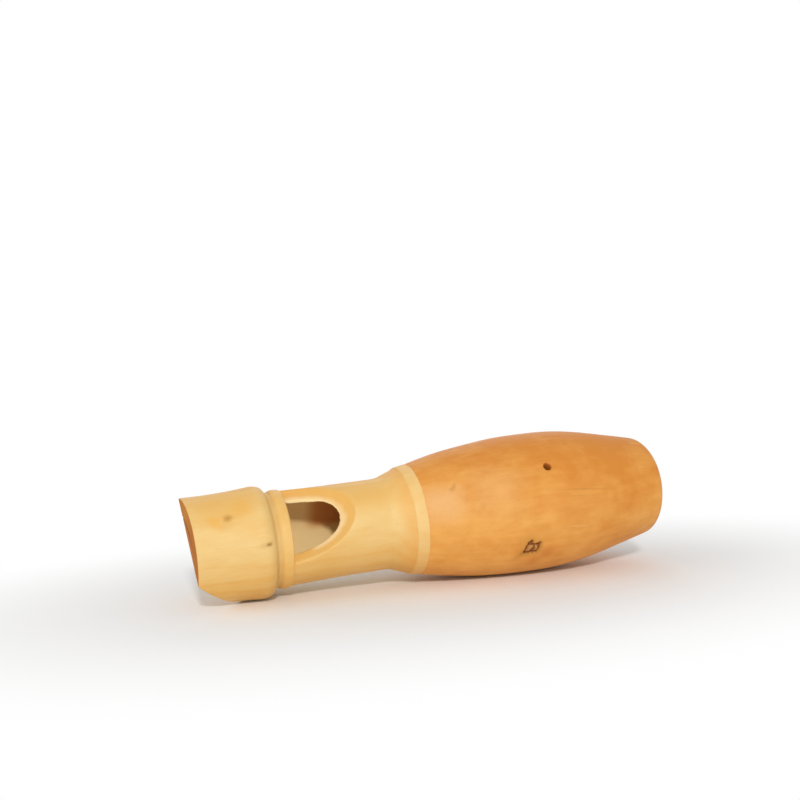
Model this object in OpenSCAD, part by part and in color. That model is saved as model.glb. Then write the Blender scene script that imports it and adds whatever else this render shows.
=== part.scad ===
// Turned wooden whistle that calls owls, in millimetres.
// A head carries the beak, the window and the collar, a fipple block lies in its bore,
// and a hollow barrel closes the air column. The barrel has a hole in its end and a
// small hole above, which two fingers open and close.
// Each piece is drawn about the turning axis, which runs along X from the joint of
// head and barrel, with the window facing up. The whole whistle is then rolled, and
// laid on its shoulder and its belly, as it lies on a table. The origin is on the
// ground, under the middle of the whistle.

/* [Mouthpiece] */
// Length of the mouthpiece, from the lip to the edge of its shoulder
mouth_len = 21.7; // [18:0.1:28]
// Radius of the mouthpiece at the lip
lip_r = 15; // [13.8:0.1:16]
// Radius of the mouthpiece at its shoulder, which rests on the table
shoulder_r = 15.7; // [14.8:0.1:17]
// Length of the rounded shoulder, from its highest line to its edge
shoulder_run = 3.6; // [1.5:0.1:4]
// How far the shoulder has dropped at its edge
shoulder_drop = 1.7; // [0.4:0.1:1.7]
// How far the side of the mouthpiece hollows between lip and shoulder
mouth_sag = 0.3; // [0:0.1:0.8]
// Thickness of the lip that goes between the player's lips
lip_h = 8; // [6:0.2:10]
// Angle by which the face of the lip leans back
lip_rake = 4.5; // [0:0.5:15]
// Angle by which the face of the lip is out of square sideways
lip_skew = 3; // [-5:0.5:5]
// Radius of the hollow on the underside of the beak
beak_hollow_r = 180; // [100:5:300]
// How far in front of the shoulder's highest line the underside of the beak ends
beak_foot = 0.4; // [0.2:0.1:3]

/* [Groove and ring] */
// Width of the groove between the shoulder and the ring
groove_w = 1.4; // [0.8:0.1:3]
// Radius at the bottom of the groove
groove_r = 13.3; // [12.4:0.1:13.4]
// Width of the ring beside the window
ring_w = 3.2; // [2:0.1:4]
// Radius of the ring
ring_r = 13.9; // [13.6:0.1:14.4]

/* [Neck and collar] */
// Length of the neck, from the ring to the start of the flare
neck_len = 29.3; // [26:0.5:40]
// Radius of the neck beside the ring
neck_r = 13.4; // [12.8:0.1:13.5]
// Radius of the straight part of the neck, where a cord or a clip goes round
waist_r = 13.15; // [12.6:0.05:13.5]
// Length of the straight part of the neck, next to the flare
waist_len = 16; // [8:0.5:22]
// Length of the cone that flares from the neck to the collar
flare_len = 5.6; // [4:0.2:10]
// Width of the plain band at the end of the collar
band_w = 3.4; // [2:0.1:4]
// Radius at the start of the band
band_r = 15.4; // [14.6:0.1:16]
// Radius of head and barrel where they meet
joint_r = 16.1; // [15.8:0.1:17.5]
// Depth of the turned line on either side of the band
line_d = 0.25; // [0.1:0.05:0.5]

/* [Air way] */
// Radius of the bore through the head
bore_r = 10.4; // [9:0.1:10.6]
// Height of the air way between the block and the top of the bore
windway_h = 2.4; // [1.5:0.1:3.5]
// Width of neck left between the ring and the wall of the window
wall_step = 0.15; // [0.1:0.05:1]
// Height of the window's floor above the axis, at its lowest
window_floor = 5.6; // [5:0.1:7]
// Radius of the hollow cut that runs from the window up to the neck
ramp_r = 37; // [32:1:44]
// Radius of the hollow that the same cut has from side to side
scoop_r = 62; // [50:2:120]
// How far the lowest line of that cut lies behind the window's wall
ramp_back = 3.6; // [2:0.1:5]
// Clearance around the block, which is glued in the bore
block_fit = 0.05; // [0.02:0.01:0.1]

/* [Joint] */
// Length of the tenon on the head
tenon_len = 12; // [8:0.5:18]
// Radius of the tenon on the head
tenon_r = 12.3; // [11.8:0.1:12.8]
// Clearance around the tenon, which is glued in the barrel
tenon_fit = 0.05; // [0.02:0.01:0.1]
// Bevel at the end of the tenon
tenon_bevel = 0.6; // [0.2:0.1:1]

/* [Barrel] */
// Length of the barrel
barrel_len = 77.8; // [72:0.5:95]
// Distance from the joint to the widest line of the belly
belly_x = 38.5; // [34:0.5:44]
// Radius of the barrel at its belly
belly_r = 20.8; // [19:0.1:22]
// Radius of the curve from the belly to the straight taper
swell_r = 102; // [80:2:120]
// Angle of the straight taper towards the end
taper = 12; // [9:0.2:14]
// Radius of the rounded edge at the end
end_round = 3.7; // [2:0.1:5]
// Thickness of the wall that closes the end
end_wall = 8.3; // [5:0.1:12]

/* [Finger holes] */
// Radius of the hole through the middle of the end
end_hole_r = 4; // [2.5:0.1:5]
// Radius of the small hole above
upper_hole_r = 1.2; // [0.8:0.1:2]
// Distance from the joint to the small hole
upper_hole_x = 37.5; // [30:0.5:48]

/* [Position on the table] */
// Angle by which the whistle is rolled away from having its window on top
roll = 53; // [0:1:180]

/* [Hidden] */

// Overrun of every cut past the face that it opens
over = 1;
// Steps along a curved outline
steps = 12;
$fn = 96;

// Places along the turning axis, counted from the joint
band_x = -band_w;
flare_x = band_x - flare_len;
waist_x = flare_x - waist_len;
neck_x = flare_x - neck_len;
wall_x = neck_x + wall_step;
ring_x = neck_x - ring_w;
edge_x = ring_x - groove_w;
shoulder_x = edge_x - shoulder_run;
lip_x = edge_x - mouth_len;
end_x = barrel_len;
chamber_x = barrel_len - end_wall;

// Heights above the axis, on the side that the window faces
lip_floor = lip_r - lip_h;
block_top = bore_r - windway_h;
chamber_r = tenon_r + tenon_fit;

// Curve of the barrel from the joint to the belly, as one arc
rise_r = (belly_x * belly_x + pow(belly_r - joint_r, 2)) / (2 * (belly_r - joint_r));
rise_turn = asin(belly_x / rise_r);
taper_x = belly_x + swell_r * sin(taper);
taper_r = belly_r - swell_r * (1 - cos(taper));
corner_x = end_x - end_round;
corner_r = taper_r - (corner_x - taper_x) * tan(taper) - end_round / cos(taper);

// Tilt at which the shoulder and the belly touch the ground together
rest_run = belly_x - shoulder_x;
rest_drop = rise_r - belly_r + shoulder_r;
tilt = asin(rise_r / sqrt(pow(rest_run, 2) + pow(rest_drop, 2))) - atan2(rest_drop, rest_run);
rest_z = shoulder_r * cos(tilt) - shoulder_x * sin(tilt);
lip_side = sqrt(pow(lip_r, 2) - pow(lip_floor, 2));
low_x = min(lip_reach(lip_side), lip_reach(-lip_side));
high_x = corner_x * cos(tilt) + corner_r * sin(tilt) + end_round;
rest_x = -(low_x + high_x) / 2;

// How far along the ground the lower corner of the lip lies, at one side of it
function lip_reach(side) =
    let (out = lip_x - side * tan(lip_skew) - lip_h * tan(lip_rake) / cos(lip_skew))
    out * cos(tilt) - (side * sin(roll) + lip_floor * cos(roll)) * sin(tilt);

// Underside of the beak: a chord from the back of the lip to the foot of the shoulder
beak_start = [lip_x - lip_h * tan(lip_rake), lip_floor];
beak_end = [shoulder_x - beak_foot, -shoulder_r];
beak_chord = beak_end - beak_start;
beak_mid = (beak_start + beak_end) / 2;
beak_reach = sqrt(pow(beak_hollow_r, 2) - pow(norm(beak_chord) / 2, 2));
beak_away = [beak_chord[1], -beak_chord[0]] / norm(beak_chord);
beak_centre = beak_mid + beak_away * beak_reach;

// Outlines are lists of [radius, place along the axis], from lip to end
function side_of_mouth() = [
    for (i = [-steps / 2 : steps])
        let (share = (i - 0.5) / (steps - 0.5))
        [lip_r + (shoulder_r - lip_r) * share - 4 * mouth_sag * share * (1 - share),
         lip_x + (shoulder_x - lip_x) * share]
];

function round_shoulder() = [
    for (i = [1 : steps])
        let (turn = 90 * i / steps)
        [shoulder_r - shoulder_drop * (1 - cos(turn)), shoulder_x + shoulder_run * sin(turn)]
];

function bead(low_r, high_r, from_x, wide) = [
    for (i = [1 : steps - 1])
        let (turn = 180 * i / steps)
        [low_r + (high_r - low_r) * sqrt(sin(turn)), from_x + wide * (1 - cos(turn)) / 2]
];

function belly_rise() = [
    for (i = [0 : steps])
        let (turn = rise_turn * (1 - i / steps))
        [belly_r - rise_r * (1 - cos(turn)), belly_x - rise_r * sin(turn)]
];

function belly_swell() = [
    for (i = [1 : steps])
        let (turn = taper * i / steps)
        [belly_r - swell_r * (1 - cos(turn)), belly_x + swell_r * sin(turn)]
];

function round_end() = [
    for (i = [0 : steps])
        let (turn = taper + (90 - taper) * i / steps)
        [corner_r + end_round * cos(turn), corner_x + end_round * sin(turn)]
];

// Outline of a drum with crowned sides, as [radius, place along its own axis]
function crowned(radius, crown_r, half) = concat(
    [[0, -half]],
    [
        for (i = [0 : steps - 1])
            let (side = half * (2 * i / (steps - 1) - 1))
            [radius - crown_r + sqrt(pow(crown_r, 2) - pow(side, 2)), side]
    ],
    [[0, half]]
);

head_outline = concat(
    [[0, side_of_mouth()[0][1]]],
    side_of_mouth(),
    round_shoulder(),
    [[groove_r, edge_x + line_d], [groove_r, ring_x]],
    bead(groove_r, ring_r, ring_x, ring_w),
    [[neck_r, neck_x], [waist_r, waist_x], [waist_r, flare_x]],
    [[band_r, band_x - line_d], [band_r - line_d, band_x], [band_r + line_d, band_x + line_d]],
    [[joint_r, -line_d], [joint_r - line_d, 0]],
    [[tenon_r, 0], [tenon_r, tenon_len - tenon_bevel], [tenon_r - tenon_bevel, tenon_len]],
    [[0, tenon_len]]
);

barrel_outline = concat(
    [[0, 0]],
    belly_rise(),
    belly_swell(),
    round_end(),
    [[0, end_x]]
);

// Solid turned about the axis along X
module turned(outline) {
    rotate([0, 90, 0])
        rotate_extrude()
            polygon(outline);
}

// Round hole or rod along X
module along_axis(radius, from_x, to_x) {
    translate([from_x, 0, 0])
        rotate([0, 90, 0])
            cylinder(r = radius, h = to_x - from_x);
}

// Round cutter that lies across the axis
module across(radius, x, z) {
    translate([x, 0, z])
        rotate([90, 0, 0])
            cylinder(r = radius, h = 4 * shoulder_r, center = true);
}

// What the beak loses: the underside, and all that stands past the face of the lip
module beak_cut() {
    across(beak_hollow_r, beak_centre[0], beak_centre[1]);
    translate([lip_x, 0, lip_r])
        rotate([0, lip_rake, lip_skew])
            translate([-2 * lip_r, -2 * lip_r, -4 * lip_r])
                cube([2 * lip_r, 4 * lip_r, 6 * lip_r]);
}

// Window, with a square wall at the ring and a scooped ramp up to the neck
module window_cut() {
    intersection() {
        translate([wall_x - ramp_back, 0, window_floor + ramp_r])
            rotate([90, 0, 0])
                rotate_extrude()
                    polygon(crowned(ramp_r, scoop_r, shoulder_r));
        translate([wall_x, -2 * neck_r, 0])
            cube([neck_len + flare_len, 4 * neck_r, 2 * neck_r]);
    }
}

// Rolled, and laid down on the ground
module laid_down() {
    translate([rest_x, 0, rest_z])
        rotate([0, -tilt, 0])
            rotate([roll, 0, 0])
                children();
}

module head() {
    color("#F0CB85")
        laid_down()
            difference() {
                turned(head_outline);
                along_axis(bore_r, lip_x - 2 * lip_r, tenon_len + over);
                beak_cut();
                window_cut();
            }
}

module fipple_block() {
    color("#D9AE6B")
        laid_down()
            difference() {
                along_axis(bore_r - block_fit, lip_x - lip_r, wall_x);
                translate([lip_x - lip_r - over, -2 * bore_r, block_top])
                    cube([mouth_len + 2 * lip_r, 4 * bore_r, 2 * bore_r]);
                beak_cut();
            }
}

module barrel() {
    color("#E2A55C")
        laid_down()
            difference() {
                turned(barrel_outline);
                along_axis(chamber_r, -over, chamber_x);
                along_axis(end_hole_r, chamber_x - over, end_x + over);
                translate([upper_hole_x, 0, 0])
                    cylinder(r = upper_hole_r, h = belly_r + over);
            }
}

head();
fipple_block();
barrel();
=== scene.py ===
"""Looks of a turned wooden owl call: head, fipple block and barrel, lying on a pale floor."""

import math
from itertools import product
from typing import NamedTuple

import bpy
import numpy as np
from mathutils import Euler, Matrix, Vector


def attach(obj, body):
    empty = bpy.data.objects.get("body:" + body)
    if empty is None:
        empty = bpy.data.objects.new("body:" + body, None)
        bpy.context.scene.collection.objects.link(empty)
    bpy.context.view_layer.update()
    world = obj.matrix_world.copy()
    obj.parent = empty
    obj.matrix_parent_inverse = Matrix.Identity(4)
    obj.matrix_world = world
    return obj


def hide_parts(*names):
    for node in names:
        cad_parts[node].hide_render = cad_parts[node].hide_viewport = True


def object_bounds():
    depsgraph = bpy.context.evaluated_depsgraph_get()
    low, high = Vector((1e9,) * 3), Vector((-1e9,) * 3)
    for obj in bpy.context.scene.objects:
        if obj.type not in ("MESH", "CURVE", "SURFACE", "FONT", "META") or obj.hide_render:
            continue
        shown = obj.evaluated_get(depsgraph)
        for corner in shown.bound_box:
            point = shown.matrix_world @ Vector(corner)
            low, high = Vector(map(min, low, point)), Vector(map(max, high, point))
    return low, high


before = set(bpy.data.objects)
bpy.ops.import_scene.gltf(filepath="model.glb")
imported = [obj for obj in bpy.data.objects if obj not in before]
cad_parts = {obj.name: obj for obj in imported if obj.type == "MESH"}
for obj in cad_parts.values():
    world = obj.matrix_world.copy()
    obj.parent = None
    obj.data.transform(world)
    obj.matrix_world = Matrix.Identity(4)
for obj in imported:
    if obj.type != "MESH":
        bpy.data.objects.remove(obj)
cad_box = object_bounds()

# Sizes of the whistle, in millimetres, as in the part. The turning axis runs along x from the
# joint of head and barrel, and the window faces +z.

# Mouthpiece
MOUTH_LEN = 21.7
LIP_R = 15.0
LIP_H = 8.0
LIP_RAKE = math.radians(4.5)
LIP_SKEW = math.radians(3.0)
SHOULDER_R = 15.7
SHOULDER_RUN = 3.6
SHOULDER_DROP = 1.7
MOUTH_SAG = 0.3
BEAK_R = 180.0
BEAK_FOOT = 0.4

# Groove, ring, neck and collar
GROOVE_W = 1.4
GROOVE_R = 13.3
RING_W = 3.2
RING_R = 13.9
NECK_LEN = 29.3
NECK_R = 13.4
WAIST_LEN = 16.0
WAIST_R = 13.15
FLARE_LEN = 5.6
BAND_W = 3.4
BAND_R = 15.4
JOINT_R = 16.1

# Air way and window
BORE_R = 10.4
BLOCK_FIT = 0.05
WINDWAY_H = 2.4
WALL_STEP = 0.15
FLOOR_Z = 5.6
RAMP_R = 37.0
RAMP_BACK = 3.6
SCOOP_R = 62.0

# Tenon and barrel
TENON_X = 12.0
TENON_R = 12.3
TENON_FIT = 0.05
TENON_BEVEL = 0.6
END_X = 77.8
BELLY_X = 38.5
BELLY_R = 20.8
SWELL_R = 102.0
TAPER = math.radians(12.0)
END_ROUND = 3.7
END_WALL = 8.3
END_HOLE_R = 4.0
UPPER_HOLE_X = 37.5
UPPER_HOLE_R = 1.2

# Places along the axis, from the joint towards the lip
BAND_X = -BAND_W
FLARE_X = BAND_X - FLARE_LEN
WAIST_X = FLARE_X - WAIST_LEN
NECK_X = FLARE_X - NECK_LEN
WALL_X = NECK_X + WALL_STEP
RING_X = NECK_X - RING_W
EDGE_X = RING_X - GROOVE_W
SHOULDER_X = EDGE_X - SHOULDER_RUN
LIP_X = EDGE_X - MOUTH_LEN

# Block, chamber, and the curve and rounded end of the barrel
BLOCK_R = BORE_R - BLOCK_FIT
BLOCK_TOP = BORE_R - WINDWAY_H
CHAMBER_R = TENON_R + TENON_FIT
CHAMBER_X = END_X - END_WALL
RISE_R = (BELLY_X ** 2 + (BELLY_R - JOINT_R) ** 2) / (2 * (BELLY_R - JOINT_R))
TAPER_X = BELLY_X + SWELL_R * math.sin(TAPER)
TAPER_R = BELLY_R - SWELL_R * (1 - math.cos(TAPER))
CORNER_X = END_X - END_ROUND
CORNER_R = TAPER_R - (CORNER_X - TAPER_X) * math.tan(TAPER) - END_ROUND / math.cos(TAPER)

# Underside of the beak: a drum across the axis, from the back of the lip to the shoulder's foot
BEAK_START = np.array([LIP_X - LIP_H * math.tan(LIP_RAKE), LIP_R - LIP_H])
BEAK_END = np.array([SHOULDER_X - BEAK_FOOT, -SHOULDER_R])
BEAK_CHORD = BEAK_END - BEAK_START
BEAK_SPAN = np.hypot(*BEAK_CHORD)
BEAK_ACROSS = np.array([BEAK_CHORD[1], -BEAK_CHORD[0]]) / BEAK_SPAN
BEAK_CENTRE = (BEAK_START + BEAK_END) / 2 + BEAK_ACROSS * math.sqrt(BEAK_R ** 2 - BEAK_SPAN ** 2 / 4)
LIP_NORMAL = Matrix.Rotation(LIP_SKEW, 3, "Z") @ Matrix.Rotation(LIP_RAKE, 3, "Y") @ Vector((1, 0, 0))

# How the whistle lies: rolled about its axis, tilted onto shoulder and belly, set on the floor
MM = 0.001
ROLL = math.radians(53.0)
RUN = BELLY_X - SHOULDER_X
DROP = RISE_R - BELLY_R + SHOULDER_R
TILT = math.asin(RISE_R / math.hypot(RUN, DROP)) - math.atan2(DROP, RUN)
REACH = CORNER_X * math.cos(TILT) + CORNER_R * math.sin(TILT) + END_ROUND
LIFT = SHOULDER_R * math.cos(TILT) - SHOULDER_X * math.sin(TILT)
REST = Vector((cad_box[1][0] - REACH * MM, 0.0, LIFT * MM))
TURN = Matrix.Rotation(-TILT, 4, "Y") @ Matrix.Rotation(ROLL, 4, "X")

# Wear of shoulder, groove and ring, and soft edges. Points of the outline lie beside the start of
# the flare, the start of the band and the joint, each with an offset along x and in radius.
WEAR_START = SHOULDER_X + 1.0
WEAR_END = RING_X + 1.2
WEAR_REACH = 0.38
WEAR_STEP = 0.12
FLARE_BEND = ((-1.6, 0.0), (-0.5, 0.07), (0.6, 0.3))
BAND_EDGE = ((-0.7, -0.38), (-0.2, -0.26), (0.15, 0.14), (0.55, 0.26))
HEAD_BUTT = ((-0.25, 0.04), (0.06, -0.02), (0.06, -1.0), (0.0, -1.1))
BARREL_BUTT = ((0.0, -1.1), (-0.1, -1.0), (-0.1, -0.02))

# Spare length of the blank, which the face of the lip cuts off, and round corner of the chamber
BLANK_SPARE = 4.0
CHAMBER_CORNER = 1.2

# Far end of the window's ramp. The torn fibres under its rim get shorter over a run along x, and
# end some way past the middle.
RAMP_END = -18.0
FRINGE_X = -31.0
FRINGE_RUN = 5.0
FRINGE_DROP = 5.0

# How far edges are rounded where two cuts meet
SOFT_EDGE = 0.3
CRISP_EDGE = 0.2
RIM_EDGE = 0.35
END_HOLE_EDGE = 0.5
UPPER_HOLE_EDGE = 0.25

# Cracked knot in the belly: place along the axis, angle from the window in degrees, and depth
KNOT_X = 29.6
KNOT_A = -66.0
CRACK_DEPTH = 0.5

# Grids of the pieces: stretch and step along x, step round in degrees, radii and their step, and
# finer strips and sectors with their own step. The strips of the barrel are at its joint, knot,
# upper hole, scratches and end, and its sectors at knot, streaks and hole.
HEAD_SPAN = (LIP_X - 2.4, TENON_X + 1.0)
HEAD_STEP = 0.5
HEAD_TURN = 2.25
HEAD_STRIPS = (
    (LIP_X - 2.4, LIP_X + 1.6, 0.25),
    (LIP_X + 1.6, SHOULDER_X - 0.5, 0.45),
    (SHOULDER_X - 0.5, NECK_X + 2.3, 0.2),
    (NECK_X + 2.3, RAMP_END, 0.36),
    (BAND_X - 0.4, 0.6, 0.18),
)
HEAD_SECTORS = ((-75.0, 75.0, 1.4),)
HEAD_RADII = (BORE_R - 1.2, JOINT_R + 0.8, 0.25)
WINDOW_SPAN = (NECK_X - 1.7, RAMP_END)
BLOCK_SPAN = (LIP_X - 2.4, WALL_X + 0.55)
BLOCK_STEP = 0.35
BLOCK_STRIPS = ((LIP_X - 2.4, LIP_X + 0.6, 0.25),)
BLOCK_HALF = BLOCK_R + 0.05
BLOCK_HIGH = BLOCK_TOP + 0.2
BARREL_SPAN = (-0.6, END_X + 0.8)
BARREL_STEP = 0.8
BARREL_TURN = 2.5
BARREL_STRIPS = (
    (-0.6, 1.0, 0.2),
    (KNOT_X - 3.1, KNOT_X + 3.9, 0.16),
    (UPPER_HOLE_X - 1.7, UPPER_HOLE_X + 1.7, 0.2),
    (40.0, 48.5, 0.4),
    (CHAMBER_X - 1.0, END_X + 0.8, 0.35),
)
BARREL_SECTORS = ((KNOT_A - 7.0, KNOT_A + 16.0, 0.45), (-29.0, -18.0, 0.5), (-6.0, 5.0, 0.5))
BARREL_RADII = (END_HOLE_R - 0.8, BELLY_R + 0.8, 0.4)


def smooth_max(a, b, reach):
    """The larger of two fields, rounded where they meet."""
    near = np.maximum(reach - np.abs(a - b), 0.0) / reach
    return np.maximum(a, b) + near * near * reach * 0.25


def smooth_min(a, b, reach):
    """The smaller of two fields, rounded where they meet."""
    return -smooth_max(-a, -b, reach)


def soft(value, low, high):
    """1 below low, 0 above high, smooth between."""
    share = np.clip((high - value) / (high - low), 0.0, 1.0)
    return share * share * (3 - 2 * share)


def lines(low, high, step, strips=()):
    """Grid lines from low to high, with closer ones inside each (from, to, step) of strips."""
    out = []
    at = low
    while at < high - 1e-9:
        out.append(at)
        near = [fine for start, end, fine in strips if start - 1e-9 <= at < end - 1e-9]
        ahead = [max(start - at, 0.05 * step) for start, end, fine in strips if start > at + 1e-9]
        at += min(near) if near else min([step] + ahead)
    out.append(high)
    if out[-1] - out[-2] < 0.3 * (out[-2] - out[-3]):
        out.pop(-2)
    return np.array(out)


def turns(step, strips):
    """Grid angles all round, in radians, from steps in degrees."""
    return np.radians(lines(-180.0, 180.0, step, strips))[:-1]


def polygon_field(points, x, r):
    """Signed distance from a closed outline in the plane of x and r, negative inside."""
    px, pr = np.meshgrid(x, r, indexing="ij")
    best = np.full(px.shape, np.inf)
    inside = np.zeros(px.shape, bool)
    for (ax, ar), (bx, br) in zip(points, points[1:] + points[:1]):
        ex, er = bx - ax, br - ar
        size = ex * ex + er * er
        if size < 1e-12:
            continue
        along = np.clip(((px - ax) * ex + (pr - ar) * er) / size, 0.0, 1.0)
        best = np.minimum(best, (px - ax - along * ex) ** 2 + (pr - ar - along * er) ** 2)
        if ar != br:
            crosses = (ar > pr) != (br > pr)
            inside ^= crosses & (px < ax + (pr - ar) * ex / er)
    return np.where(inside, -1.0, 1.0) * np.sqrt(best)


def net_points(field, grid, cells):
    """A point in each cell: the mean of the places where its edges cross the surface."""
    points = np.zeros((len(cells[0]), 3))
    hits = np.zeros(len(cells[0]))
    for axis in range(3):
        first, second = (n for n in range(3) if n != axis)
        for a, b in product((0, 1), repeat=2):
            start = list(cells)
            start[first] = start[first] + a
            start[second] = start[second] + b
            end = list(start)
            end[axis] = start[axis] + 1
            low = field[tuple(start)]
            high = field[tuple(end)]
            cut = (low < 0) != (high < 0)
            share = np.where(cut, low / np.where(cut, low - high, 1.0), 0.0)
            for n in range(3):
                at = grid[n][start[n]]
                if n == axis:
                    at = at + share * (grid[n][end[n]] - at)
                points[:, n] += np.where(cut, at, 0.0)
            hits += cut
    return points / hits[:, None]


def net_quads(solid, number, wrap):
    """A quad around each grid edge that crosses the surface, facing outwards."""
    sizes = number.shape
    quads = []
    for axis in range(3):
        second, third = (axis + 1) % 3, (axis + 2) % 3
        starts = [slice(None)] * 3
        ends = [slice(None)] * 3
        starts[axis] = slice(0, -1)
        ends[axis] = slice(1, None)
        starts, ends = solid[tuple(starts)], solid[tuple(ends)]
        found = np.nonzero(starts != ends)
        keep = np.ones(len(found[0]), bool)
        for n in (second, third):
            if wrap and n == 1:
                keep &= found[n] < sizes[n]
            else:
                keep &= (found[n] > 0) & (found[n] < sizes[n])
        found = [indices[keep] for indices in found]
        outward = starts[tuple(found)]
        ring = []
        for back_second, back_third in ((1, 1), (0, 1), (0, 0), (1, 0)):
            cell = list(found)
            cell[second] = cell[second] - back_second
            cell[third] = cell[third] - back_third
            if wrap:
                cell[1] = cell[1] % sizes[1]
            ring.append(number[tuple(cell)])
        ring = np.stack(ring, 1)
        ring[~outward] = ring[~outward][:, ::-1]
        quads.append(ring)
    return np.concatenate(quads)


def surface_net(field, grid, wrap=False):
    """Points and quads on the zero level of a field. With wrap, the second grid runs round."""
    if wrap:
        field = np.concatenate([field, field[:, :1]], 1)
        grid = (grid[0], np.append(grid[1], grid[1][0] + 2 * math.pi), grid[2])
    solid = field < 0
    sizes = tuple(n - 1 for n in field.shape)
    count = np.zeros(sizes, np.uint8)
    for i, j, k in product((0, 1), repeat=3):
        count += solid[i:sizes[0] + i, j:sizes[1] + j, k:sizes[2] + k]
    cells = np.nonzero((count > 0) & (count < 8))
    number = np.full(sizes, -1, np.int64)
    number[cells] = np.arange(len(cells[0]))
    return net_points(field, grid, cells), net_quads(solid, number, wrap)


def turned_points(spots):
    """From (x, angle, radius) to x, y, z, with the angle counted from +z towards +y."""
    x, angle, radius = spots.T
    return np.stack([x, radius * np.sin(angle), radius * np.cos(angle)], 1)


def make_piece(name, points, quads, material, node, marks=None):
    """A smooth mesh in the whistle's own axes, laid down like the CAD node that it stands for."""
    mesh = bpy.data.meshes.new(name)
    mesh.vertices.add(len(points))
    laid = (points * MM) @ np.array(TURN.to_3x3()).T + np.array(REST)
    mesh.vertices.foreach_set("co", laid.astype(np.float32).ravel())
    mesh.loops.add(quads.size)
    mesh.loops.foreach_set("vertex_index", quads.astype(np.int32).ravel())
    mesh.polygons.add(len(quads))
    mesh.polygons.foreach_set("loop_start", np.arange(0, quads.size, 4, dtype=np.int32))
    mesh.update(calc_edges=True)
    mesh.validate()
    mesh.shade_smooth()
    if marks is not None:
        layer = mesh.color_attributes.new("marks", "FLOAT_COLOR", "POINT")
        layer.data.foreach_set("color", marks.astype(np.float32).ravel())
    mesh.materials.append(material)
    piece = bpy.data.objects.new(name, mesh)
    bpy.context.scene.collection.objects.link(piece)
    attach(piece, "root")
    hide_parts(node)


class Bumps(NamedTuple):
    """Unevenness of a surface: seed, bumps along its span and all round, height, and span of x."""

    seed: int
    along: int
    around: int
    height: float
    span: tuple


HEAD_BUMPS = Bumps(3, 9, 7, 0.04, HEAD_SPAN)
RAMP_BUMPS = Bumps(11, 60, 90, 0.04, WINDOW_SPAN)
FRINGE_BUMPS = Bumps(21, 14, 30, 0.06, WINDOW_SPAN)
BARREL_BUMPS = Bumps(5, 8, 6, 0.06, (0.0, END_X + 0.2))


def rough(bumps, x, angle):
    """Smooth random height at each x and angle."""
    rng = np.random.default_rng(bumps.seed)
    table = rng.uniform(-1.0, 1.0, (bumps.along + 1, bumps.around))
    table = np.concatenate([table, table[:, :1]], 1)
    x, angle = np.broadcast_arrays(x, angle)
    start, end = bumps.span
    u = np.clip((x - start) / (end - start), 0, 1) * (bumps.along - 1e-6)
    v = ((angle / (2 * math.pi)) % 1.0) * (bumps.around - 1e-6)
    i, j = u.astype(int), v.astype(int)
    u, v = u - i, v - j
    u, v = u * u * (3 - 2 * u), v * v * (3 - 2 * v)
    near = (table[i, j] * (1 - u) + table[i + 1, j] * u) * (1 - v)
    far = (table[i, j + 1] * (1 - u) + table[i + 1, j + 1] * u) * v
    return bumps.height * (near + far)


def beside(points, angle):
    """Distance round the piece from a line at the given angle in degrees, towards +y."""
    y, z = points[:, 1], points[:, 2]
    turn = np.arctan2(y, z) - math.radians(angle)
    return ((turn + math.pi) % (2 * math.pi) - math.pi) * np.hypot(y, z)


class Blot(NamedTuple):
    """Spot: place along x, angle from the window, half sizes, turn, and seed and raggedness of its rim."""

    x: float
    angle: float
    half: tuple
    turn: float
    seed: int
    ragged: float


def distance(points, spot):
    """Distance from the middle of a blot, in units of its own half sizes, with a ragged rim."""
    along = points[:, 0] - spot.x
    side = beside(points, spot.angle)
    c, s = math.cos(math.radians(spot.turn)), math.sin(math.radians(spot.turn))
    u = (c * along + s * side) / spot.half[0]
    v = (c * side - s * along) / spot.half[1]
    rng = np.random.default_rng(spot.seed)
    wave = 0.0
    for lobes in range(2, 8):
        height = rng.uniform(-1, 1)
        shift = rng.uniform(0, 6.28)
        wave = wave + height * np.cos(lobes * np.arctan2(v, u) + shift) / lobes ** 0.6
    return np.hypot(u, v) / (1.0 + spot.ragged * 0.35 * wave)


def stained(points, stains):
    """Share of the strongest stain at each point, from (strength, start and end of fade, blot)."""
    share = np.zeros(len(points))
    for strength, full, gone, spot in stains:
        share = np.maximum(share, strength * soft(distance(points, spot), full, gone))
    return share


# Knots and stains of the head, and painted shade on the upper side of the mouthpiece and the neck.
# Each stain below them has a strength, the distances at which its fade starts and ends, in half
# sizes of its blot, and the blot.
EYE = Blot(-54.9, 3.25, (1.2, 0.8), 10, 4, 0.5)
EYE_HALO = Blot(-58.3, -0.25, (2.4, 1.5), -55, 5, 0.4)
EYE_STAIN = Blot(-50.7, 15.0, (2.6, 3.2), 0, 11, 0.4)
GREY_PATCH = Blot(-55.8, -5.25, (2.2, 1.2), 10, 8, 0.4)
DASH = Blot(-45.2, -30.0, (0.75, 0.45), 12, 6, 0.5)
DASH_HALO = Blot(-46.4, -30.25, (1.7, 0.8), 5, 7, 0.5)
# Painted shade on the upper side of the mouthpiece and the neck
MOUTH_TOP_SHADE = Blot(-55.0, 25.0, (11.0, 9.0), 0, 9, 0.4)
NECK_TOP_SHADE = Blot(-14.0, 16.0, (9.0, 7.0), 0, 10, 0.3)
HEAD_DARK = ((0.62, 0.0, 1.8, EYE), (0.95, 0.1, 1.8, DASH))
HEAD_ORANGE = ((0.7, 0.1, 1.6, EYE_HALO), (0.35, 0.8, 2.6, EYE), (0.45, 0.2, 1.5, EYE_STAIN))
HEAD_GREY = ((0.2, 0.2, 1.5, GREY_PATCH), (0.5, 0.1, 1.5, DASH_HALO))
HEAD_TOP_SHADE = ((0.65, 0.3, 1.4, MOUTH_TOP_SHADE), (0.6, 0.2, 1.6, NECK_TOP_SHADE))
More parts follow.
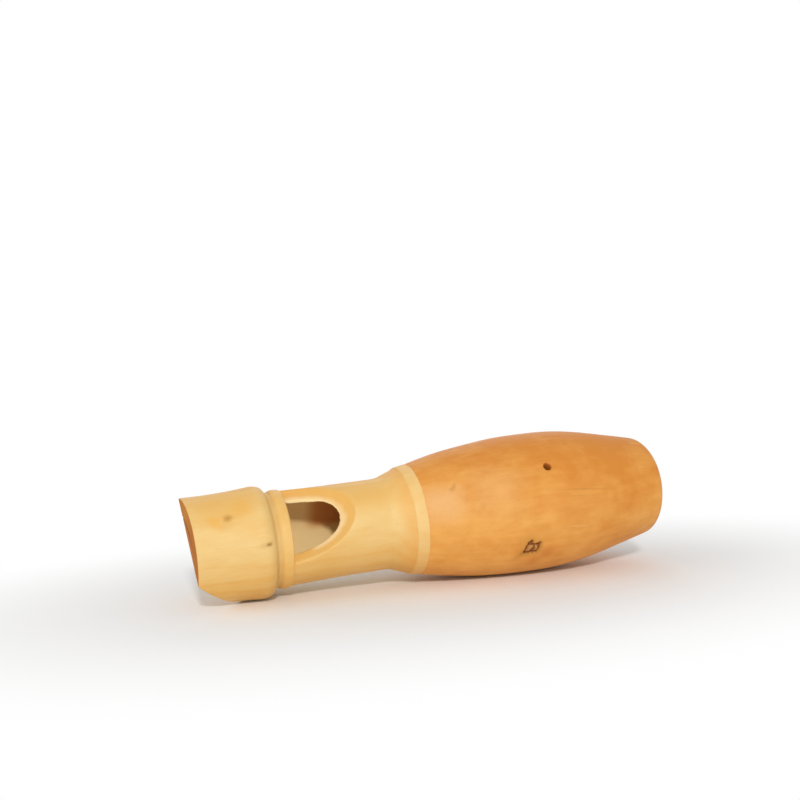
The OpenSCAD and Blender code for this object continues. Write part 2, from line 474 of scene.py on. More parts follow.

# Knots, streaks, scratches and patches of the barrel, and a painted highlight by the joint
KNOT_PLUG = Blot(KNOT_X + 0.2, KNOT_A - 0.3, (2.1, 1.4), 10, 12, 0.3)
KNOT_HALO = Blot(KNOT_X - 0.4, KNOT_A + 4.0, (4.2, 2.8), -8, 14, 0.5)
KNOT_TAIL = Blot(KNOT_X - 3.3, KNOT_A - 7.6, (2.3, 0.9), 39, 15, 0.4)
KNOT_RIGHT = Blot(KNOT_X + 5.4, KNOT_A - 7.4, (2.5, 2.0), 0, 19, 0.4)
KNOT_BELOW = Blot(KNOT_X + 2.1, KNOT_A - 15.7, (2.2, 1.7), 0, 20, 0.4)
SPOT = Blot(8.0, -4.5, (0.8, 0.5), 20, 16, 0.5)
TICK = Blot(8.7, -2.2, (0.9, 0.4), 75, 17, 0.5)
LONG_STREAK = Blot(47.0, -23.0, (10.0, 0.3), -5.6, 21, 0.2)
SHORT_STREAK = Blot(44.0, -27.5, (4.0, 0.2), -5.6, 22, 0.2)
LONG_SCRATCH = Blot(44.1, -52.2, (3.6, 0.26), -7.6, 23, 0.2)
SHORT_SCRATCH = Blot(43.6, -58.5, (2.0, 0.26), -7.6, 24, 0.2)
# Painted highlight on the barrel by the joint
JOINT_HIGHLIGHT = Blot(4.5, -17.0, (6.0, 5.0), 0, 18, 0.4)
PALE_PATCH = Blot(20.0, -13.0, (9.0, 8.0), 0, 25, 0.3)
DEEP_PATCH = Blot(44.0, -32.0, (10.0, 6.5), 0, 26, 0.3)
BARREL_DARK = (
    (0.25, 0.2, 2.0, SPOT), (0.25, 0.2, 2.0, TICK), (0.22, 0.1, 1.6, KNOT_TAIL),
    (0.16, 0.2, 1.4, LONG_STREAK), (0.13, 0.2, 1.4, SHORT_STREAK),
)
BARREL_PALE_AND_HIGHLIGHT = (
    (0.6, 0.3, 1.4, LONG_SCRATCH), (0.45, 0.3, 1.4, SHORT_SCRATCH), (0.85, 0.3, 1.8, JOINT_HIGHLIGHT),
    (0.6, 0.6, 1.15, KNOT_PLUG), (0.42, 0.1, 1.6, PALE_PATCH),
)
BARREL_OLIVE = ((0.4, 0.3, 1.4, KNOT_HALO),)
BARREL_DEEP = ((0.6, 0.2, 1.5, KNOT_RIGHT), (0.5, 0.2, 1.5, KNOT_BELOW), (0.26, 0.1, 1.6, DEEP_PATCH))

# Cracks of the knot: corners beside its middle, joined in pairs, with the width of each crack
CORNERS = {
    "foot": (-1.96, -1.78), "left": (-1.25, 0.6), "bend": (-0.63, 1.56), "top": (-0.18, 1.96),
    "notch": (-0.54, 1.04), "roof": (1.79, 0.8), "nose": (2.41, 1.1), "right": (2.32, -0.36),
    "low_right": (1.79, -1.75), "low": (0.71, -1.66), "sill": (-0.54, -1.8),
    "heart": (0.71, -0.7), "spur": (0.98, 0.8),
}
CRACKS = (
    ("foot", "left", 0.3), ("left", "bend", 0.4), ("bend", "top", 0.85), ("bend", "notch", 0.5),
    ("notch", "roof", 0.5), ("roof", "nose", 0.7), ("nose", "right", 0.35),
    ("right", "low_right", 0.2), ("low_right", "low", 0.18), ("low", "sill", 0.25),
    ("sill", "foot", 0.4), ("sill", "heart", 0.5), ("heart", "low", 0.8), ("heart", "spur", 0.15),
)


def crack(points):
    """How deep the knot in the belly is cracked, from 0 to 1, and how far away its cracks are."""
    u = points[:, 0] - KNOT_X
    v = beside(points, KNOT_A)
    jitter = 0.05 * np.sin(5.1 * u + 2.3 * v) + 0.04 * np.sin(9.7 * v - 4.0 * u)
    depth = np.zeros(len(points))
    near = np.full(len(points), np.inf)
    for start, end, width in CRACKS:
        (au, av), (bu, bv) = CORNERS[start], CORNERS[end]
        eu, ev = bu - au, bv - av
        along = np.clip(((u - au) * eu + (v - av) * ev) / (eu * eu + ev * ev), 0.0, 1.0)
        away = np.hypot(u - au - along * eu, v - av - along * ev) + jitter
        depth = np.maximum(depth, soft(away, 0.2 * width, 0.8 * width + 0.35))
        near = np.minimum(near, away)
    return depth, near


def head_marks(points):
    """Dark, orange, grey and deep shares of the marks on the head; the deep share is painted shade on the
    upper side.
    """
    kinds = (HEAD_DARK, HEAD_ORANGE, HEAD_GREY, HEAD_TOP_SHADE)
    return np.stack([stained(points, stains) for stains in kinds], 1)


def barrel_marks(points):
    """Dark, pale, olive and deep shares of the marks on the barrel; the pale share also holds a painted
    highlight by the joint.
    """
    depth, near = crack(points)
    plug = soft(distance(points, KNOT_PLUG), 0.7, 1.1)
    shade = 0.2 * soft(near, 0.1, 1.0) + 0.36 * plug
    dark = np.maximum(stained(points, BARREL_DARK), np.maximum(depth, shade))
    ring = 0.85 * soft(near, 0.3, 2.0) * (1.0 - plug)
    olive = np.maximum(stained(points, BARREL_OLIVE), ring)
    return np.stack([dark, stained(points, BARREL_PALE_AND_HIGHLIGHT), olive, stained(points, BARREL_DEEP)], 1)


def beak_field(x, y, z):
    """Positive where the cuts of the beak have taken the wood away."""
    under = BEAK_R - np.hypot(x - BEAK_CENTRE[0], z - BEAK_CENTRE[1])
    face = -(LIP_NORMAL.x * (x - LIP_X) + LIP_NORMAL.y * y + LIP_NORMAL.z * (z - LIP_R))
    return smooth_max(under, face, SOFT_EDGE)


def arc_angles(steps, end=math.pi / 2, start=0.0):
    """Angles in equal steps, after the start up to the end."""
    return [start + (end - start) * i / steps for i in range(1, steps + 1)]


def worn(outline, start, end, reach):
    """The outline with its stretch from start to end worn soft over the given reach."""
    before = [point for point in outline if point[0] < start]
    after = [point for point in outline if point[0] > end]
    x, r = np.array([point for point in outline if point[1] > 0.0]).T
    at = np.arange(start, end, WEAR_STEP)
    offsets = np.linspace(-2.0, 2.0, 21) * reach
    weights = np.exp(-0.5 * (offsets / reach) ** 2)
    mean = np.interp(at[:, None] + offsets, x, r) @ weights / weights.sum()
    return before + list(zip(at, mean)) + after


def head_outline():
    """The turned profile of the head, from the axis round the outside and back to the axis."""
    steps = 16
    out = [(LIP_X - BLANK_SPARE, 0.0), (LIP_X - BLANK_SPARE, LIP_R)]
    for i in range(steps + 1):
        share = i / steps
        sag = 4 * MOUTH_SAG * share * (1 - share)
        out.append((LIP_X + (SHOULDER_X - LIP_X) * share, LIP_R + (SHOULDER_R - LIP_R) * share - sag))
    for turn in arc_angles(steps):
        drop = SHOULDER_DROP * (1 - math.cos(turn))
        out.append((SHOULDER_X + SHOULDER_RUN * math.sin(turn), SHOULDER_R - drop))
    out += [(EDGE_X + 0.01, GROOVE_R), (RING_X - 0.01, GROOVE_R)]
    for turn in arc_angles(steps, math.pi)[:-1]:
        bulge = (RING_R - GROOVE_R) * math.sqrt(math.sin(turn))
        out.append((RING_X + RING_W * (1 - math.cos(turn)) / 2, GROOVE_R + bulge))
    out = worn(out, WEAR_START, WEAR_END, WEAR_REACH)
    out += [(NECK_X + 0.05, NECK_R), (WAIST_X, WAIST_R)]
    out += [(FLARE_X + dx, WAIST_R + dr) for dx, dr in FLARE_BEND]
    out += [(BAND_X + dx, BAND_R + dr) for dx, dr in BAND_EDGE]
    out += [(dx, JOINT_R + dr) for dx, dr in HEAD_BUTT]
    out += [(0.0, TENON_R), (TENON_X - TENON_BEVEL, TENON_R), (TENON_X, TENON_R - TENON_BEVEL)]
    return out + [(TENON_X, 0.0)]


def window_fields(x, y, z, angle):
    """The window's cut, positive outside the wood, and how far torn fibres narrow the bore."""
    scoop = RAMP_R - SCOOP_R + np.sqrt(SCOOP_R ** 2 - y ** 2)
    ramp = scoop - np.hypot(x - (WALL_X - RAMP_BACK), z - (FLOOR_Z + RAMP_R))
    below = soft(-ramp, 0.2, 1.0) * soft(-y, 0.0, FRINGE_DROP)
    torn = np.where(x > WALL_X, below * soft(x, RAMP_END - 2.0, RAMP_END + 1.0), 0.0)
    torn = torn * (0.3 + 0.45 * soft(x, FRINGE_X, FRINGE_X + FRINGE_RUN))
    torn = torn * (1.0 + rough(FRINGE_BUMPS, x, angle))
    ramp = ramp + rough(RAMP_BUMPS, x, angle)
    return smooth_min(ramp, x - WALL_X, SOFT_EDGE), torn


def build_head(material):
    """Turned head with bore, beak, window, collar and tenon, slightly uneven as by hand."""
    grid = (
        lines(*HEAD_SPAN, HEAD_STEP, HEAD_STRIPS),
        turns(HEAD_TURN, HEAD_SECTORS),
        lines(*HEAD_RADII),
    )
    x, angle, radius = np.ix_(*grid)
    y, z = radius * np.sin(angle), radius * np.cos(angle)
    outer = polygon_field(head_outline(), grid[0], grid[2])[:, None, :]
    outer = outer + rough(HEAD_BUMPS, x, angle)
    window, torn = window_fields(x, y, z, angle)
    field = smooth_max(outer, BORE_R - torn - radius, SOFT_EDGE)
    field = smooth_max(field, beak_field(x, y, z), CRISP_EDGE)
    field = smooth_max(field, window, RIM_EDGE)
    spots, quads = surface_net(field, grid, wrap=True)
    points = turned_points(spots)
    make_piece("turned_head", points, quads, material, "head", head_marks(points))


def build_block(material):
    """Plug of the mouthpiece's bore, with a flat top for the air way, cut with the beak."""
    grid = (
        lines(*BLOCK_SPAN, BLOCK_STEP, BLOCK_STRIPS),
        lines(-BLOCK_HALF, BLOCK_HALF, BLOCK_STEP),
        lines(-BLOCK_HALF, BLOCK_HIGH, BLOCK_STEP),
    )
    x, y, z = np.ix_(*grid)
    field = smooth_max(np.hypot(y, z) - BLOCK_R, z - BLOCK_TOP, CRISP_EDGE)
    field = smooth_max(field, x - WALL_X, SOFT_EDGE)
    field = smooth_max(field, beak_field(x, y, z), SOFT_EDGE)
    points, quads = surface_net(field, grid)
    make_piece("fipple_plug", points, quads, material, "fipple_block")


def barrel_outline():
    """The turned profile of the barrel, from the axis round the outside and back to the axis."""
    out = [(0.0, 0.0)]
    out += [(dx, JOINT_R + dr) for dx, dr in BARREL_BUTT]
    out.append((0.0, JOINT_R))
    rise_steps = 24
    for i in range(1, rise_steps + 1):
        at = BELLY_X * i / rise_steps
        out.append((at, BELLY_R - RISE_R + math.sqrt(RISE_R ** 2 - (at - BELLY_X) ** 2)))
    steps = 16
    for turn in arc_angles(steps, TAPER):
        out.append((BELLY_X + SWELL_R * math.sin(turn), BELLY_R - SWELL_R * (1 - math.cos(turn))))
    for turn in [TAPER] + arc_angles(steps, start=TAPER):
        out.append((CORNER_X + END_ROUND * math.sin(turn), CORNER_R + END_ROUND * math.cos(turn)))
    return out + [(END_X, 0.0)]


def build_barrel(material):
    """Turned barrel with its chamber, both finger holes and the cracked knot."""
    grid = (
        lines(*BARREL_SPAN, BARREL_STEP, BARREL_STRIPS),
        turns(BARREL_TURN, BARREL_SECTORS),
        lines(*BARREL_RADII),
    )
    x, angle, radius = np.ix_(*grid)
    y, z = radius * np.sin(angle), radius * np.cos(angle)
    outer = polygon_field(barrel_outline(), grid[0], grid[2])[:, None, :]
    outer = outer + rough(BARREL_BUMPS, x, angle)
    skin = [values.ravel() for values in np.broadcast_arrays(x, angle, BELLY_R)]
    depth = crack(turned_points(np.stack(skin, 1)))[0]
    outer = outer + CRACK_DEPTH * depth.reshape(len(grid[0]), len(grid[1]), 1)
    chamber = smooth_min(CHAMBER_R - radius, CHAMBER_X - x, CHAMBER_CORNER)
    upper_hole = np.where(z > 0, UPPER_HOLE_R - np.hypot(x - UPPER_HOLE_X, y), -BELLY_R)
    field = smooth_max(outer, chamber, SOFT_EDGE)
    field = smooth_max(field, END_HOLE_R - radius, END_HOLE_EDGE)
    field = smooth_max(field, upper_hole, UPPER_HOLE_EDGE)
    spots, quads = surface_net(field, grid, wrap=True)
    points = turned_points(spots)
    make_piece("turned_barrel", points, quads, material, "barrel", barrel_marks(points))


class Graph:
    """Adds shader nodes to an emptied node tree and joins them."""

    def __init__(self, tree):
        """Takes a node tree and empties it."""
        self.tree = tree
        tree.nodes.clear()

    def node(self, kind, **settings):
        """A new node of the given kind."""
        made = self.tree.nodes.new(kind)
        for key, value in settings.items():
            setattr(made, key, value)
        return made

    def put(self, socket, value):
        """Joins a socket to this one, or writes a plain value into it."""
        if isinstance(value, bpy.types.NodeSocket):
            self.tree.links.new(value, socket)
        else:
            socket.default_value = value

    def math(self, kind, *values, clamp=False):
        """Result of a math node."""
        made = self.node("ShaderNodeMath", operation=kind, use_clamp=clamp)
        for socket, value in zip(made.inputs, values):
            self.put(socket, value)
        return made.outputs[0]

    def times(self, first, *others):
        """Product of values."""
        for other in others:
            first = self.math("MULTIPLY", first, other)
        return first

    def plus(self, first, *others):
        """Sum of values."""
        for other in others:
            first = self.math("ADD", first, other)
        return first

    def swing(self, value, amount):
        """A value between 0 and 1, as a swing of the given amount round zero."""
        return self.times(self.math("SUBTRACT", value, 0.5), amount)

    def vector(self, kind, *values):
        """Result of a vector math node."""
        made = self.node("ShaderNodeVectorMath", operation=kind)
        for socket, value in zip(made.inputs, values):
            self.put(socket, value)
        return made.outputs["Value" if kind in ("LENGTH", "DOT_PRODUCT") else 0]

    def across(self, y, z):
        """Distance from the x axis of the point with these y and z."""
        made = self.node("ShaderNodeCombineXYZ")
        self.put(made.inputs[1], y)
        self.put(made.inputs[2], z)
        return self.vector("LENGTH", made.outputs[0])

    def scaled(self, where, scale):
        """Places with each axis scaled."""
        made = self.node("ShaderNodeMapping")
        self.put(made.inputs["Vector"], where)
        made.inputs["Scale"].default_value = scale
        return made.outputs[0]

    def noise(self, where, pitch, detail, roughness):
        """Noise with the given number of cells per unit along x, y and z."""
        made = self.node("ShaderNodeTexNoise")
        self.put(made.inputs["Vector"], self.scaled(where, pitch))
        made.inputs["Scale"].default_value = 1.0
        made.inputs["Detail"].default_value = detail
        made.inputs["Roughness"].default_value = roughness
        return made.outputs["Fac"]

    def mix(self, share, a, b, kind="MIX"):
        """Colour a with a share of colour b."""
        made = self.node("ShaderNodeMix", data_type="RGBA", blend_type=kind)
        self.put(made.inputs[0], share)
        for socket, value in ((made.inputs[6], a), (made.inputs[7], b)):
            self.put(socket, (*value, 1) if isinstance(value, tuple) else value)
        return made.outputs[2]

    def fit(self, value, low, high, to_low=0.0, to_high=1.0):
        """Smooth step of a value, from to_low at low to to_high at high."""
        made = self.node("ShaderNodeMapRange", interpolation_type="SMOOTHSTEP")
        self.put(made.inputs[0], value)
        for socket, number in zip(made.inputs[1:5], (low, high, to_low, to_high)):
            socket.default_value = number
        return made.outputs[0]

    def drop(self, value, low, high):
        """1 below low, 0 above high, smooth between."""
        return self.fit(value, low, high, 1.0, 0.0)


def srgb(*values):
    """Linear colour from the 0 to 255 values of a screen."""
    shares = [value / 255 for value in values]
    return tuple(s / 12.92 if s <= 0.04045 else ((s + 0.055) / 1.055) ** 2.4 for s in shares)


class Look(NamedTuple):
    """Colours and figure of one piece of wood."""

    # Palest and deepest colour of the outside
    pale: tuple
    deep: tuple
    # Heart of the tree in y and z, width of a growth ring, and which stretch of the noises is used
    heart: tuple
    ring_gap: float
    seed: int
    # Radius and end of the hollow, by default none, and the colour inside it
    bore: tuple = (0.0, LIP_X)
    raw: tuple = ()
    # Tints of the four marks
    tints: tuple = ()
    # Swing of the tone by streaks, rings, clouds and mottles, and how long the clouds are
    streaks: float = 0.4
    rings: float = 0.18
    clouds: float = 1.3
    mottles: float = 0.0
    cloud_length: float = 2.2
    # Tone at the belly, its rise along x and y and towards both sides, and its fall at the end. The
    # rise along x is painted light near the joint and painted shade towards the end, the rise along y
    # is painted shade on the upper side and painted light on the underside, the rise towards both
    # sides is painted shade at the top and the underside, and the fall at the end takes back part of
    # the painted shade along x.
    tone: float = 0.45
    along: float = 0.0
    up: float = 0.0
    sides: float = 0.0
    tip: float = 0.0
    shine: float = 0.2


HEAD_LOOK = Look(
    pale=srgb(237, 203, 136), deep=srgb(230, 174, 88), raw=srgb(252, 224, 164),
    bore=(BORE_R + 0.03, TENON_X + 1.0), heart=(14, -46), ring_gap=2.7, seed=1,
    # The fourth tint, deep, colours the painted shade on the upper side
    tints=(srgb(158, 106, 46), srgb(236, 176, 80), srgb(206, 164, 92), srgb(234, 180, 94)),
    # Painted shade rising towards the upper side and towards both the top and the underside
    streaks=0.35, tone=0.32, up=0.02, sides=0.7,
)
BLOCK_LOOK = Look(
    pale=srgb(222, 180, 118), deep=srgb(196, 146, 86), heart=(-30, 20), ring_gap=1.9, seed=2,
)
BARREL_LOOK = Look(
    pale=srgb(244, 183, 99), deep=srgb(217, 139, 58), raw=srgb(226, 180, 124),
    bore=(CHAMBER_R + 0.03, CHAMBER_X + 0.2), heart=(-22, -40), ring_gap=3.1, seed=3,
    # The second tint, pale, also colours the painted highlight by the joint
    tints=(srgb(120, 60, 24), srgb(235, 180, 116), srgb(196, 142, 66), srgb(208, 126, 56)),
    rings=0.05, clouds=1.0, mottles=0.55, cloud_length=1.2,
    # Painted light near the joint and on the underside, painted shade towards the end and on the upper
    # side
    tone=0.82, along=0.0055, up=0.016, tip=0.25, shine=0.1,
)

# Bands of tint along the head: where each tint rises and where it falls along x, strength and
# colour. The first band, over the shoulder's rounding and in the groove, is painted shade.
HEAD_TINTS_AND_GROOVE_SHADE = (
    # Painted shade over the shoulder's rounding and in the groove
    ((EDGE_X - 3.2, EDGE_X - 0.4), (RING_X - 0.1, RING_X + 0.7), 0.42, srgb(206, 164, 94)),
    ((FLARE_X, BAND_X - 0.3), (BAND_X - 0.2, BAND_X + 0.1), 0.5, srgb(234, 166, 80)),
    ((BAND_X - 0.1, BAND_X + 0.2), (TENON_X, TENON_X + 1.0), 0.3, srgb(244, 200, 132)),
    ((RING_X, RING_X + 0.5), (NECK_X - 0.3, NECK_X + 0.3), 0.45, srgb(238, 182, 92)),
)
TORN_TINT = srgb(250, 222, 172)
# Lip face: end grain darkened by use, with painted shade on it
LIP_GRAIN_AND_SHADE = srgb(194, 118, 60)
# Painted shade on the far wall of the bore
BORE_SHADE_TINT = srgb(206, 118, 54)
# Painted shade just behind the lip
SLOT_SHADE_TINT = srgb(182, 108, 54)
BORE_BLUR = 0.17

# Noises in the wood: cells per millimetre along x, y and z, detail and roughness
SWAY = ((0.02, 0.035, 0.035), 2.0, 0.5)
WOBBLE = ((0.05, 0.35, 0.35), 2.0, 0.5)
FIBRE = ((0.05, 0.9, 0.9), 4.0, 0.6)
FINE = ((0.16, 5.0, 5.0), 3.0, 0.6)
PORES = ((0.3, 3.4, 3.4), 1.0, 0.5)
MOTTLE = ((0.2, 0.28, 0.28), 2.0, 0.5)
TOOL_MARKS = ((2.2, 0.02, 0.02), 2.0, 0.5)
RAGGED = ((0.3, 0.3, 0.3), 2.0, 0.5)
CLOUD_PITCH = 0.1
SEED_SHIFT = (13.7, 5.1, 9.3)

# Stretch of the barrel's end over which its tone falls, taking back part of the painted shade
# along x
TIP_FADE = (END_X - 18.0, END_X - 4.0)


class Wood(Graph):
    """Oiled, turned wood: soft clouds, growth rings round a heart, fibre, marks and a dull inside."""

    def __init__(self, name, look):
        """A material painted as far as the bare wood."""
        self.material = bpy.data.materials.new(name)
        self.material.use_nodes = True
        super().__init__(self.material.node_tree)
        self.look = look
        self.find_place()
        self.grow()
        self.colour_outside()

    def find_place(self):
        """Places in the whistle's own millimetres, and which of them lie in the bore."""
        own = self.node("ShaderNodeMapping", vector_type="TEXTURE")
        self.put(own.inputs["Vector"], self.node("ShaderNodeTexCoord").outputs["Object"])
        own.inputs["Location"].default_value = REST
        own.inputs["Rotation"].default_value = TURN.to_euler()
        own.inputs["Scale"].default_value = (MM, MM, MM)
        self.place = own.outputs[0]
        shift = tuple(self.look.seed * step for step in SEED_SHIFT)
        self.shifted = self.vector("ADD", self.place, shift)
        parts = self.node("ShaderNodeSeparateXYZ")
        self.put(parts.inputs[0], self.place)
        self.x, self.y, self.z = parts.outputs
        self.radius = self.across(self.y, self.z)
        bore_r, bore_end = self.look.bore
        self.inside = self.times(self.drop(self.radius, bore_r, bore_r + BORE_BLUR),
                                 self.drop(self.x, bore_end, bore_end + 0.3))

    def grow(self):
        """Growth rings, fibre, fine streaks and pores."""
        heart_y, heart_z = self.look.heart
        from_y = self.math("SUBTRACT", self.y, heart_y)
        from_z = self.math("SUBTRACT", self.z, heart_z)
        sway = self.times(self.noise(self.shifted, *SWAY), 9.0)
        wobble = self.times(self.noise(self.shifted, *WOBBLE), 1.6)
        depth = self.plus(self.across(from_y, from_z), sway, wobble, self.times(self.x, 0.03))
        phase = self.math("FRACT", self.math("DIVIDE", depth, self.look.ring_gap))
        self.late = self.fit(self.math("ABSOLUTE", self.math("SUBTRACT", phase, 0.5)), 0.1, 0.5)
        self.fibre = self.noise(self.shifted, *FIBRE)
        self.fine = self.noise(self.shifted, *FINE)
        self.pores = self.fit(self.noise(self.shifted, *PORES), 0.68, 0.76)

    def colour_outside(self):
        """Tone between pale and deep, with painted light and shade in it, and fine streaks and pores on
        it.
        """
        look = self.look
        pitch = (CLOUD_PITCH / look.cloud_length, CLOUD_PITCH, CLOUD_PITCH)
        cloud = self.noise(self.shifted, pitch, 3.0, 0.6)
        mottle = self.noise(self.shifted, *MOTTLE)
        side = self.math("DIVIDE", self.math("ABSOLUTE", self.y), self.radius)
        # Cloud, streaks, rings and mottles are grain; the terms along x and y, at the end and towards the
        # sides are painted light and shade
        tone = self.plus(
            self.swing(cloud, look.clouds), self.swing(self.fibre, look.streaks),
            self.swing(self.late, look.rings), self.times(self.x, look.along),
            self.times(self.y, look.up), self.fit(self.x, *TIP_FADE, 0.0, -look.tip),
            self.swing(mottle, look.mottles), self.fit(side, 0.55, 1.0, 0.0, look.sides),
        )
        tone = self.math("ADD", tone, look.tone - BELLY_X * look.along, clamp=True)
        self.colour = self.mix(tone, look.pale, look.deep)
        streak = self.fit(self.fine, 0.3, 0.7, 1.0 - 0.07 * look.streaks, 1.0 + 0.05 * look.streaks)
        grey = self.node("ShaderNodeCombineColor")
        for socket in grey.inputs[:3]:
            self.put(socket, streak)
        self.colour = self.mix(1.0, self.colour, grey.outputs[0], "MULTIPLY")
        self.lay(self.pores, 0.14, tuple(c * 0.6 for c in look.deep))

    def lay(self, where, strength, tint):
        """Lays a tint over the colour so far."""
        self.colour = self.mix(self.times(where, strength), self.colour, tint)

    def lay_raw(self):
        """Lays the raw colour over the inside, which isn't oiled."""
        self.lay(self.inside, 0.9, self.look.raw)

    def lay_marks(self):
        """Lays the four marks, the last one first, so that dark lies on top."""
        marks = self.node("ShaderNodeAttribute", attribute_name="marks")
        apart = self.node("ShaderNodeSeparateColor")
        self.put(apart.inputs[0], marks.outputs["Color"])
        fleck = self.fit(self.fine, 0.3, 0.7, 0.75, 1.15)
        shares = [*apart.outputs, marks.outputs["Alpha"]]
        for share, tint in reversed(list(zip(shares, self.look.tints))):
            self.colour = self.mix(self.math("MULTIPLY", share, fleck, clamp=True), self.colour, tint)

    def relief(self):
        """Shallow relief of fibre, pores and the turning tool."""
        tool = self.noise(self.place, *TOOL_MARKS)
        height = self.plus(self.times(self.fine, 0.35), self.times(tool, 0.25))
        bump = self.node("ShaderNodeBump")
        bump.inputs["Strength"].default_value = 0.2
        bump.inputs["Distance"].default_value = 0.0001
        self.put(bump.inputs["Height"], self.math("SUBTRACT", height, self.times(self.pores, 0.3)))
        return bump.outputs[0]

    def finish(self, dull):
        """The finished material, whose dull places don't shine."""
        shader = self.node("ShaderNodeBsdfPrincipled")
        self.put(shader.inputs["Base Color"], self.colour)
        gloss = self.plus(self.fibre, self.times(self.inside, 0.5))
        self.put(shader.inputs["Roughness"], self.fit(gloss, 0.2, 1.0, 0.4, 0.62))
        shine = self.look.shine
        self.put(shader.inputs["Specular IOR Level"], self.math("MULTIPLY_ADD", dull, -shine, shine))
        self.put(shader.inputs["Normal"], self.relief())
        self.put(self.node("ShaderNodeOutputMaterial").inputs["Surface"], shader.outputs[0])
        return self.material


def paint_window(wood):
    """Deep colour on the ramp, and pale torn fibres at the bore."""
    start = wood.fit(wood.x, WALL_X, WALL_X + 0.3)
    end = wood.drop(wood.x, RAMP_END - 1.0, RAMP_END + 0.5)
    window = wood.times(start, end, wood.fit(wood.z, FLOOR_Z - 0.6, FLOOR_Z - 0.2))
    wood.lay(wood.times(window, wood.drop(wood.radius, NECK_R - 0.6, NECK_R - 0.3)), 0.7, wood.look.deep)
    ragged = wood.swing(wood.noise(wood.place, *RAGGED), 0.8)
    nearer = wood.fit(wood.y, -2.0, 1.0, 0.5, 0.0)
    reach = wood.math("SUBTRACT", wood.plus(wood.radius, ragged), nearer)
    upper = wood.fit(wood.y, -2.0, 1.0)
    beyond = wood.fit(wood.x, FRINGE_X - 2.5, FRINGE_X)
    torn = wood.times(window, wood.drop(reach, BORE_R + 0.1, BORE_R + 1.1))
    torn = wood.times(torn, wood.math("MAXIMUM", upper, beyond))
    wood.lay(torn, 0.6, TORN_TINT)


def paint_lip(wood):
    """End grain of the lip, darkened partly by use and partly by painted shade, as its face turns from the
    light. Gives the places back, because they are dull.
    """
    from_lip = wood.vector("SUBTRACT", wood.place, (LIP_X, 0.0, LIP_R))
    past = wood.vector("DOT_PRODUCT", from_lip, tuple(LIP_NORMAL))
    bore_r = wood.look.bore[0]
    lip = wood.times(wood.drop(past, 0.02, 0.2), wood.fit(wood.radius, bore_r, bore_r + BORE_BLUR))
    wood.lay(lip, 0.92, LIP_GRAIN_AND_SHADE)
    return lip


def paint_slot_shade(wood, where):
    """Painted shade on the wood just behind the lip, in the air way and the mouth of the bore."""
    wood.lay(wood.times(wood.drop(wood.x, LIP_X + 0.5, LIP_X + 3.5), where), 0.85, SLOT_SHADE_TINT)


def head_wood():
    """Pale wood of the head, with its groove, window, lip, bore and small knots."""
    wood = Wood("head_wood", HEAD_LOOK)
    # Bands of tint along x; the one at the groove is painted shade
    for rise, fall, strength, tint in HEAD_TINTS_AND_GROOVE_SHADE:
        wood.lay(wood.times(wood.fit(wood.x, *rise), wood.drop(wood.x, *fall)), strength, tint)
    paint_window(wood)
    lip = paint_lip(wood)
    wood.lay_raw()
    # Painted shade on the far wall of the bore, above the line where the window's far edge shades it,
    # deeper further along x
    shaded = wood.times(wood.inside, wood.drop(wood.z, 0.0, 3.0), wood.fit(wood.y, 5.0, 7.5))
    further = wood.fit(wood.x, FRINGE_X + 0.5, FRINGE_X + FRINGE_RUN + 0.5, 0.08, 0.75)
    wood.lay(shaded, further, BORE_SHADE_TINT)
    paint_slot_shade(wood, wood.inside)
    wood.lay_marks()
    return wood.finish(wood.math("MAXIMUM", wood.inside, lip))


def block_wood():
    """Plain wood of the block, with painted shade behind the lip."""
    wood = Wood("block_wood", BLOCK_LOOK)
    paint_slot_shade(wood, 1.0)
    return wood.finish(wood.inside)


def barrel_wood():
    """Warm tan wood of the barrel, with its raw chamber, end grain, cracked knot and streaks."""
    wood = Wood("barrel_wood", BARREL_LOOK)
    wood.lay_raw()
    end = wood.fit(wood.x, END_X - 1.6, END_X - 0.2)
    wood.lay(end, wood.fit(wood.late, 0.2, 0.9, 0.12, 0.5), tuple(c * 0.72 for c in wood.look.deep))
    wood.lay_marks()
    return wood.finish(wood.inside)


# Floor, in metres: half size, squeeze of its distances, where it starts and ends turning white
FLOOR_HALF = 3.0
FLOOR_COLOUR = (0.93, 0.925, 0.915, 1)
FLOOR_SQUEEZE = (0.55, 1.0, 1.0)
FLOOR_FADE = (0.025, 0.105)

# Light from all round, and lamps: name, place, diameter and power. All look at the whistle.
# A power of 9.9 at 1 m lights white to white.
WORLD_COLOUR = (1, 1, 1, 1)
WORLD_STRENGTH = 0.46
LAMPS = (
    ("key", (-0.2, -0.82, 0.53), 0.1, 4.4),
    ("fill", (0.1, -0.9, 0.06), 0.4, 0.6),
    ("side", (-0.8, 0.1, 0.5), 0.6, 1.0),
    ("back", (0.3, 0.85, 0.6), 0.7, 1.1),
)
LAMP_AIM = Vector((0, 0, 0.02))

# Camera of the photograph, solved from the straight edges of the box in it. Turn in degrees.
CAMERA_PLACE = (-0.103029, -0.275681, 0.066042)
CAMERA_TURN = (87.5848, 1.60905, -19.06587)
CAMERA_LENS = 45.0
CAMERA_SENSOR = 36.0
CAMERA_NEAR = 0.01


def seen_directly(graph):
    """1 for camera, glossy and transmission rays, which show the background, and 0 for the rest."""
    path = graph.node("ShaderNodeLightPath")
    seen = graph.math("MAXIMUM", path.outputs["Is Camera Ray"], path.outputs["Is Glossy Ray"])
    return graph.math("MAXIMUM", seen, path.outputs["Is Transmission Ray"])


def blend(graph, share, shader, other):
    """A shader with a share of another one."""
    pick = graph.node("ShaderNodeMixShader")
    for socket, value in zip(pick.inputs, (share, shader.outputs[0], other.outputs[0])):
        graph.put(socket, value)
    return pick.outputs[0]


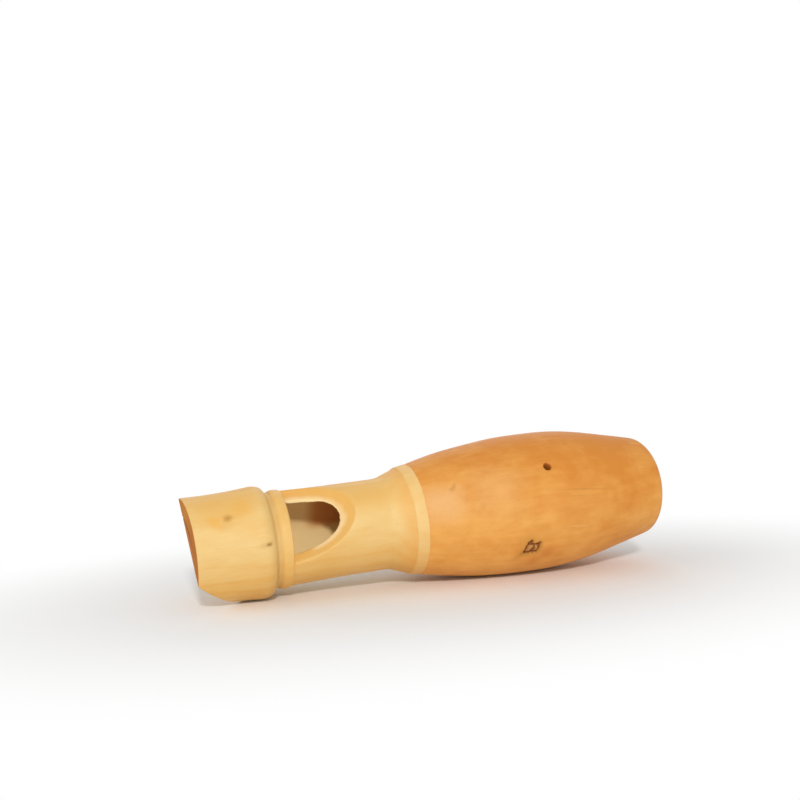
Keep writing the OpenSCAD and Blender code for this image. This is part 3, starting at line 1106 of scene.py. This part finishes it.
def floor_paint():
    """Pale matt paint that keeps the whistle's shadow and turns white further out."""
    material = bpy.data.materials.new("floor_paint")
    material.use_nodes = True
    graph = Graph(material.node_tree)
    where = graph.scaled(graph.node("ShaderNodeTexCoord").outputs["Object"], FLOOR_SQUEEZE)
    far = graph.fit(graph.vector("LENGTH", where), *FLOOR_FADE)
    matt = graph.node("ShaderNodeBsdfDiffuse")
    matt.inputs["Color"].default_value = FLOOR_COLOUR
    white = graph.node("ShaderNodeEmission")
    paint = blend(graph, graph.times(far, seen_directly(graph)), matt, white)
    graph.put(graph.node("ShaderNodeOutputMaterial").inputs["Surface"], paint)
    return material


def add_floor():
    """Wide floor under the whistle."""
    half = FLOOR_HALF
    corners = [(-half, -half, 0), (half, -half, 0), (half, half, 0), (-half, half, 0)]
    mesh = bpy.data.meshes.new("floor")
    mesh.from_pydata(corners, [], [(0, 1, 2, 3)])
    mesh.materials.append(floor_paint())
    floor = bpy.data.objects.new("floor", mesh)
    bpy.context.scene.collection.objects.link(floor)


def add_lamp(name, place, size, power):
    """Round soft lamp that looks at the whistle."""
    data = bpy.data.lights.new(name, "AREA")
    data.shape = "DISK"
    data.size = size
    data.energy = power
    lamp = bpy.data.objects.new(name, data)
    lamp.location = place
    lamp.rotation_euler = (LAMP_AIM - Vector(place)).to_track_quat("-Z", "Y").to_euler()
    bpy.context.scene.collection.objects.link(lamp)


def add_world():
    """Even light from all round, which the camera sees as white."""
    world = bpy.data.worlds.new("studio")
    bpy.context.scene.world = world
    world.use_nodes = True
    graph = Graph(world.node_tree)
    grounds = []
    for strength in (WORLD_STRENGTH, 1.0):
        ground = graph.node("ShaderNodeBackground")
        ground.inputs["Color"].default_value = WORLD_COLOUR
        ground.inputs["Strength"].default_value = strength
        grounds.append(ground)
    light = blend(graph, seen_directly(graph), *grounds)
    graph.put(graph.node("ShaderNodeOutputWorld").inputs["Surface"], light)


def add_camera():
    """Camera that sees the whistle as in the photograph."""
    data = bpy.data.cameras.new("camera")
    data.lens = CAMERA_LENS
    data.sensor_width = CAMERA_SENSOR
    data.clip_start = CAMERA_NEAR
    camera = bpy.data.objects.new("camera", data)
    camera.location = CAMERA_PLACE
    camera.rotation_euler = Euler([math.radians(degrees) for degrees in CAMERA_TURN], "XYZ")
    bpy.context.scene.collection.objects.link(camera)
    bpy.context.scene.camera = camera


build_head(head_wood())
build_block(block_wood())
build_barrel(barrel_wood())
add_floor()
for lamp_facts in LAMPS:
    add_lamp(*lamp_facts)
add_world()
add_camera()
bpy.context.scene.view_settings.view_transform = "Standard"
